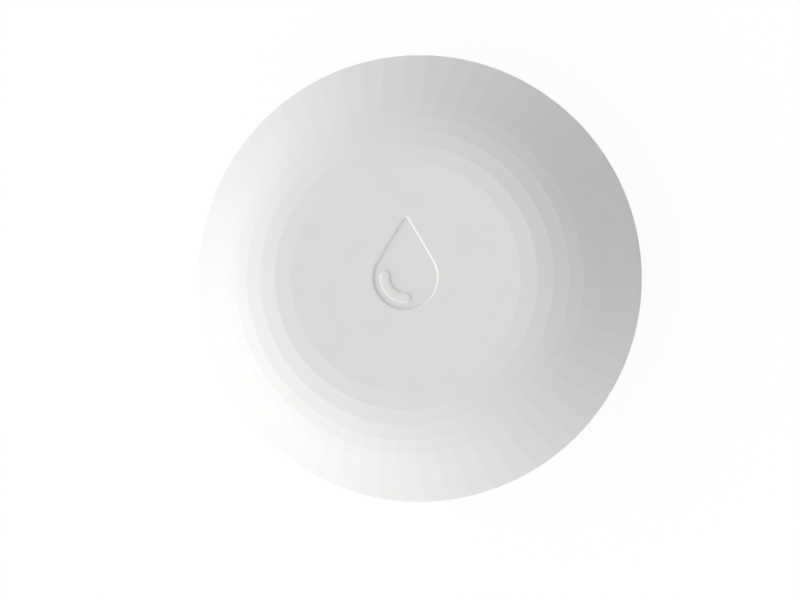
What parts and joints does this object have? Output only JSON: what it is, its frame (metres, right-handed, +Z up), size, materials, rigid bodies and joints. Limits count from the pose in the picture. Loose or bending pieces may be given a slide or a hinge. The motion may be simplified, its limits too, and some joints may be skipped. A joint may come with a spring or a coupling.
{
  "type": "water leak sensor",
  "caption": "Round domed floor puck with a drop-shaped push button on its flat top, metal sensing probes underneath and a coin cell behind a twist-off cover.",
  "frame": {"origin": "centre of the footprint on the floor, under the body's axis", "axes": "+Z up along the body's axis, +Y the way the drop's point points, +X to the right of the drop"},
  "size_m": [0.05, 0.05, 0.015],
  "materials": {
    "white_plastic": "fine matte",
    "clear_silicone": "satin",
    "black_rubber": "matte",
    "bright_steel": "satin",
    "spring_steel": "satin",
    "brass": "satin",
    "board": "solder mask",
    "chip_black": "matte",
    "copper": "satin",
    "led_lens": "gloss",
    "chip_ceramic": "matte",
    "switch_black": "matte"
  },
  "bodies": {
    "housing": {"top_cover": "white_plastic", "button_seal": "clear_silicone", "seal_retainer": "white_plastic", "threaded_inserts": "brass", "housing_seal": "black_rubber", "base_shell": "white_plastic", "cell_can": "bright_steel", "cell_cap": "bright_steel", "cell_gasket": "clear_silicone", "positive_contact": "spring_steel", "negative_contact": "spring_steel", "circuit_board": "board", "radio_chip": "chip_black", "crystal": "bright_steel", "antenna_trace": "copper", "status_led": "led_lens", "chip_capacitors": "chip_ceramic", "chip_resistors": "chip_black", "switch_body": "switch_black", "switch_plate": "bright_steel", "switch_dome": "spring_steel", "switch_terminals": "bright_steel", "probe_left": "bright_steel", "probe_right": "bright_steel", "probe_seals": "black_rubber", "probe_bushes": "brass"},
    "button": {"drop_button": "white_plastic"},
    "stem": {"switch_stem": "switch_black"},
    "battery_door": {"battery_cover": "white_plastic", "cover_seal": "black_rubber"}
  },
  "joints": [
    {"name": "button_press", "type": "slide", "parent": "housing", "child": "button", "axis": [0, 0, -1], "range_m": [0, 0.00025], "stiffness_N_per_m": 3000, "deforming": ["button_seal"]},
    {"name": "stem_press", "type": "slide", "parent": "housing", "child": "stem", "axis": [0, 0, -1], "range_m": [0, 0.00025], "deforming": ["switch_dome"]},
    {"name": "cover_twist", "type": "hinge", "parent": "housing", "child": "battery_door", "pos_m": [0, 0, 0.001], "axis": [0, 0, -1], "range_deg": [0, 45]}
  ],
  "couplings": [
    {"joint": "stem_press", "follows": "button_press", "ratio": 1}
  ]
}
